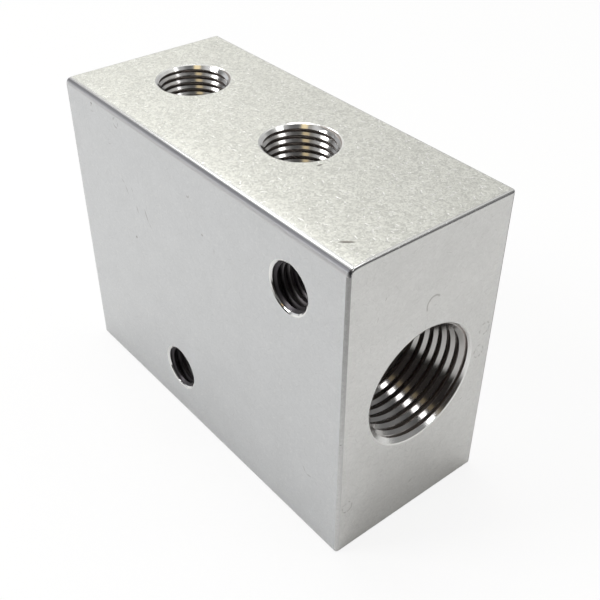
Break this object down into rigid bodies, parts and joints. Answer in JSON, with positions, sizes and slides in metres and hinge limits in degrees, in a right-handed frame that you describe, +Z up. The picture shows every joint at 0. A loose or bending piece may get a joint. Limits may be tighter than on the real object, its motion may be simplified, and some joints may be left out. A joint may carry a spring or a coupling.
{
  "type": "air manifold block",
  "caption": "Drilled rectangular block that leads air from one large tapped inlet in its end to smaller tapped outlets in its top, with tapped side holes for mounting.",
  "frame": {"origin": "middle of the base", "axes": "+X along the length towards the end with the inlet, +Y through the thickness towards the back face, +Z up towards the outlets"},
  "size_m": [0.058, 0.025, 0.044],
  "materials": {
    "machined_aluminium": "tumbled satin faces, with bright turned countersinks and threads"
  },
  "bodies": {
    "root": {"manifold_block": "machined_aluminium"}
  },
  "joints": []
}
